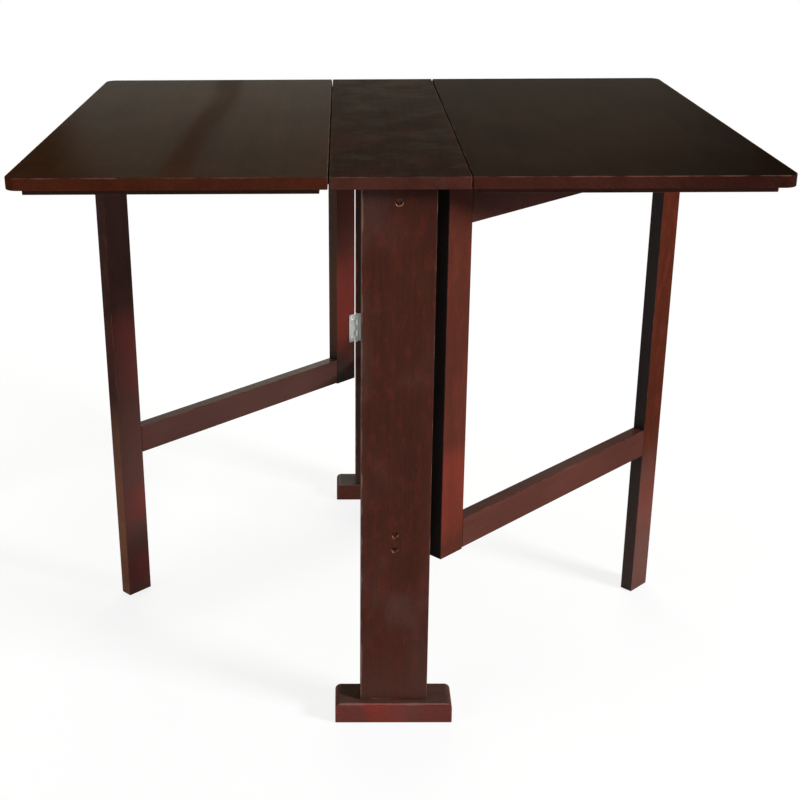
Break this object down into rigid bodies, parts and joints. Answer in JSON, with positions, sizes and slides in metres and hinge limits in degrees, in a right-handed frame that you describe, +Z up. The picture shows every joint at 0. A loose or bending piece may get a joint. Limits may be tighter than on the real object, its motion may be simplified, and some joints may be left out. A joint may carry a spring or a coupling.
{
  "type": "folding gateleg dining table",
  "caption": "Folding gateleg dining table: a narrow centre panel on board-shaped end posts, with a drop leaf at each side and a swinging gate under each leaf.",
  "frame": {"origin": "on the floor under the middle of the top", "axes": "+X along the table's length, across both leaves; +Y from the front post to the rear post; +Z up"},
  "size_m": [0.9202, 0.77, 0.75],
  "materials": {
    "top_board": "dark mahogany stain under satin lacquer",
    "frame_wood": "mahogany stain under satin lacquer",
    "gate_wood": "red mahogany stain under satin lacquer",
    "hinge_steel": "bright zinc plate",
    "screw_steel": "dark passivated plate"
  },
  "bodies": {
    "frame": {"centre_top": "top_board", "front_post": "frame_wood", "rear_post": "frame_wood", "front_foot": "frame_wood", "rear_foot": "frame_wood", "upper_stretcher": "frame_wood", "lower_stretcher": "frame_wood", "centre_top_front_screw": "screw_steel", "centre_top_rear_screw": "screw_steel", "front_post_upper_screw": "screw_steel", "front_post_lower_a_screw": "screw_steel", "front_post_lower_b_screw": "screw_steel", "front_foot_screw_a": "screw_steel", "front_foot_screw_b": "screw_steel", "rear_post_upper_screw": "screw_steel", "rear_post_lower_a_screw": "screw_steel", "rear_post_lower_b_screw": "screw_steel", "rear_foot_screw_a": "screw_steel", "rear_foot_screw_b": "screw_steel", "left_leaf_front_hinge_panel_plate": "hinge_steel", "left_leaf_front_hinge_pin": "hinge_steel", "left_leaf_rear_hinge_panel_plate": "hinge_steel", "left_leaf_rear_hinge_pin": "hinge_steel", "left_gate_lower_hinge_post_plate": "hinge_steel", "left_gate_lower_hinge_pin": "hinge_steel", "left_gate_upper_hinge_post_plate": "hinge_steel", "left_gate_upper_hinge_pin": "hinge_steel", "right_leaf_front_hinge_panel_plate": "hinge_steel", "right_leaf_front_hinge_pin": "hinge_steel", "right_leaf_rear_hinge_panel_plate": "hinge_steel", "right_leaf_rear_hinge_pin": "hinge_steel", "right_gate_lower_hinge_post_plate": "hinge_steel", "right_gate_lower_hinge_pin": "hinge_steel", "right_gate_upper_hinge_post_plate": "hinge_steel", "right_gate_upper_hinge_pin": "hinge_steel"},
    "left_leaf_body": {"left_leaf": "top_board", "left_leaf_front_batten": "frame_wood", "left_leaf_rear_batten": "frame_wood", "left_stop_block": "frame_wood", "left_leaf_front_hinge_leaf_plate": "hinge_steel", "left_leaf_rear_hinge_leaf_plate": "hinge_steel"},
    "right_leaf_body": {"right_leaf": "top_board", "right_leaf_front_batten": "frame_wood", "right_leaf_rear_batten": "frame_wood", "right_stop_block": "frame_wood", "right_leaf_front_hinge_leaf_plate": "hinge_steel", "right_leaf_rear_hinge_leaf_plate": "hinge_steel"},
    "left_gate_body": {"left_gate_stile": "gate_wood", "left_gate_leg": "gate_wood", "left_gate_top_rail": "gate_wood", "left_gate_lower_rail": "gate_wood", "left_gate_lower_hinge_gate_plate": "hinge_steel", "left_gate_upper_hinge_gate_plate": "hinge_steel"},
    "right_gate_body": {"right_gate_stile": "gate_wood", "right_gate_leg": "gate_wood", "right_gate_top_rail": "gate_wood", "right_gate_lower_rail": "gate_wood", "right_gate_lower_hinge_gate_plate": "hinge_steel", "right_gate_upper_hinge_gate_plate": "hinge_steel"}
  },
  "joints": [
    {"name": "left_gate_swing", "type": "hinge", "parent": "frame", "child": "left_gate_body", "pos_m": [-0.043, 0.33405, 0.4815], "axis": [0, 0, 1], "range_deg": [0, 45]},
    {"name": "right_gate_swing", "type": "hinge", "parent": "frame", "child": "right_gate_body", "pos_m": [0.043, -0.33405, 0.4815], "axis": [0, 0, 1], "range_deg": [0, 45]},
    {"name": "left_leaf_lift", "type": "hinge", "parent": "frame", "child": "left_leaf_body", "pos_m": [-0.0833, 0, 0.73205], "axis": [0, 1, 0], "range_deg": [0, 4]},
    {"name": "right_leaf_lift", "type": "hinge", "parent": "frame", "child": "right_leaf_body", "pos_m": [0.0833, 0, 0.73205], "axis": [0, -1, 0], "range_deg": [0, 4]}
  ]
}
